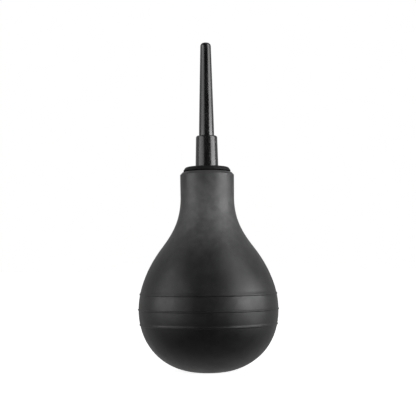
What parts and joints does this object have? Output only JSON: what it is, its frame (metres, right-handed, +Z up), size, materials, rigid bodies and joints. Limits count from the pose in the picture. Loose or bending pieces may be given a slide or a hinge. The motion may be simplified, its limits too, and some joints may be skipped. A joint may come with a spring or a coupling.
{
  "type": "dust blower bulb",
  "caption": "Pear-shaped rubber squeeze bulb with a stopper, a stepped tapered nozzle and a one-way air inlet in its base, for blowing dust off small parts.",
  "frame": {"origin": "on the floor, under the axis of the bulb and the nozzle", "axes": "+Z up the axis, from the foot to the end of the nozzle; +X and +Y any two sides of the turned shape"},
  "size_m": [0.0706, 0.0706, 0.1661],
  "materials": {
    "bulb_rubber": "satin black moulded elastomer",
    "plug_plastic": "matt black, slightly mottled",
    "nozzle_plastic": "polished black",
    "seal_rubber": "smooth black",
    "valve_plastic": "satin black",
    "disc_rubber": "dull red silicone"
  },
  "bodies": {
    "bulb": {"squeeze_bulb": "bulb_rubber"},
    "stopper": {"neck_plug": "plug_plastic"},
    "collar": {"nozzle_collar": "nozzle_plastic"},
    "tip": {"nozzle_tip": "nozzle_plastic", "tip_o_ring": "seal_rubber"},
    "inlet_valve": {"inlet_valve_body": "valve_plastic", "inlet_valve_cage": "valve_plastic"},
    "valve_disc": {"inlet_valve_disc": "disc_rubber"}
  },
  "joints": [
    {"name": "stopper_pull", "type": "slide", "parent": "bulb", "child": "stopper", "axis": [0, 0, 1], "range_m": [0, 0.03]},
    {"name": "nozzle_swivel", "type": "hinge", "parent": "stopper", "child": "collar", "pos_m": [0, 0, 0.1027], "axis": [0, 0, 1], "continuous": true},
    {"name": "tip_pull", "type": "slide", "parent": "collar", "child": "tip", "axis": [0, 0, 1], "range_m": [0, 0.014]},
    {"name": "base_press", "type": "slide", "parent": "bulb", "child": "inlet_valve", "axis": [0, 0, 1], "range_m": [0, 0.02], "stiffness_N_per_m": 600, "deforming": ["squeeze_bulb"]},
    {"name": "disc_lift", "type": "slide", "parent": "inlet_valve", "child": "valve_disc", "axis": [0, 0, 1], "range_m": [0, 0.0012]}
  ]
}
